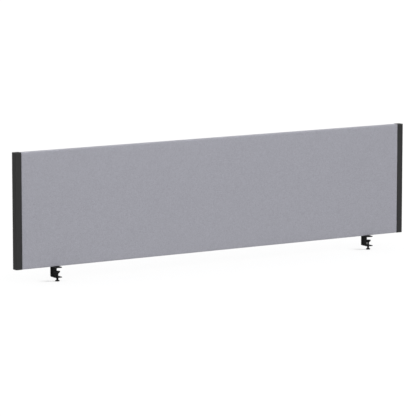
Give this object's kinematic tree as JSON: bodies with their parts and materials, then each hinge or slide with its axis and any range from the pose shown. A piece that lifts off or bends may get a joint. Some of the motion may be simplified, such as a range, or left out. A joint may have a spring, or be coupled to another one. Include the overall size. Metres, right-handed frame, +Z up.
{
  "type": "desk privacy panel",
  "caption": "Long fabric-wrapped desk screen with dark end posts and screw clamps that grip the rear edge of a desk.",
  "frame": {"origin": "middle of the panel's underside: half way along, half way through its thickness", "axes": "+X along the panel to the right as the desk's user sees it, -Y towards the desk and its user, +Z up"},
  "size_m": [1.6, 0.0424, 0.45],
  "materials": {
    "fabric": "woven mid-grey polyester, matt",
    "tape": "woven grey tape, matt",
    "foam": "thin open-cell foam sheet",
    "board": "raw fibreboard",
    "post_coating": "charcoal powder coat, satin",
    "cap_plastic": "moulded charcoal plastic",
    "bracket_coating": "black powder coat, fine texture",
    "black_steel": "black oxide",
    "plated_steel": "zinc plated",
    "brass": "machined",
    "rubber": "matt black",
    "black_plastic": "moulded, fine grain"
  },
  "bodies": {
    "panel": {"core_board": "board", "front_foam": "foam", "rear_foam": "foam", "fabric_cover": "fabric", "fabric_staples": "plated_steel", "seam_tape": "tape", "left_end_post": "post_coating", "left_top_cap": "cap_plastic", "left_bottom_cap": "cap_plastic", "right_end_post": "post_coating", "right_top_cap": "cap_plastic", "right_bottom_cap": "cap_plastic", "left_bracket": "bracket_coating", "left_inserts": "brass", "left_bracket_screws": "plated_steel", "left_jaw_liner": "rubber", "left_thread_bush": "black_steel", "right_bracket": "bracket_coating", "right_inserts": "brass", "right_bracket_screws": "plated_steel", "right_jaw_liner": "rubber", "right_thread_bush": "black_steel"},
    "left_pad": {"left_pressure_pad": "black_plastic", "left_pad_cushion": "rubber"},
    "left_screw": {"left_spindle": "black_steel", "left_spindle_clip": "plated_steel", "left_knob": "black_plastic"},
    "right_pad": {"right_pressure_pad": "black_plastic", "right_pad_cushion": "rubber"},
    "right_screw": {"right_spindle": "black_steel", "right_spindle_clip": "plated_steel", "right_knob": "black_plastic"}
  },
  "joints": [
    {"name": "left_pad_travel", "type": "slide", "parent": "panel", "child": "left_pad", "axis": [0, 0, 1], "range_m": [-0.0085, 0.008]},
    {"name": "left_spindle_turn", "type": "hinge", "parent": "left_pad", "child": "left_screw", "pos_m": [-0.645, -0.0179, -0.03], "axis": [0, 0, 1], "range_deg": [-2448, 2304]},
    {"name": "right_pad_travel", "type": "slide", "parent": "panel", "child": "right_pad", "axis": [0, 0, 1], "range_m": [-0.0085, 0.008]},
    {"name": "right_spindle_turn", "type": "hinge", "parent": "right_pad", "child": "right_screw", "pos_m": [0.645, -0.0179, -0.03], "axis": [0, 0, 1], "range_deg": [-2448, 2304]}
  ],
  "couplings": [
    {"joint": "left_spindle_turn", "follows": "left_pad_travel", "rad_per_m": 5026.5},
    {"joint": "right_spindle_turn", "follows": "right_pad_travel", "rad_per_m": 5026.5}
  ]
}
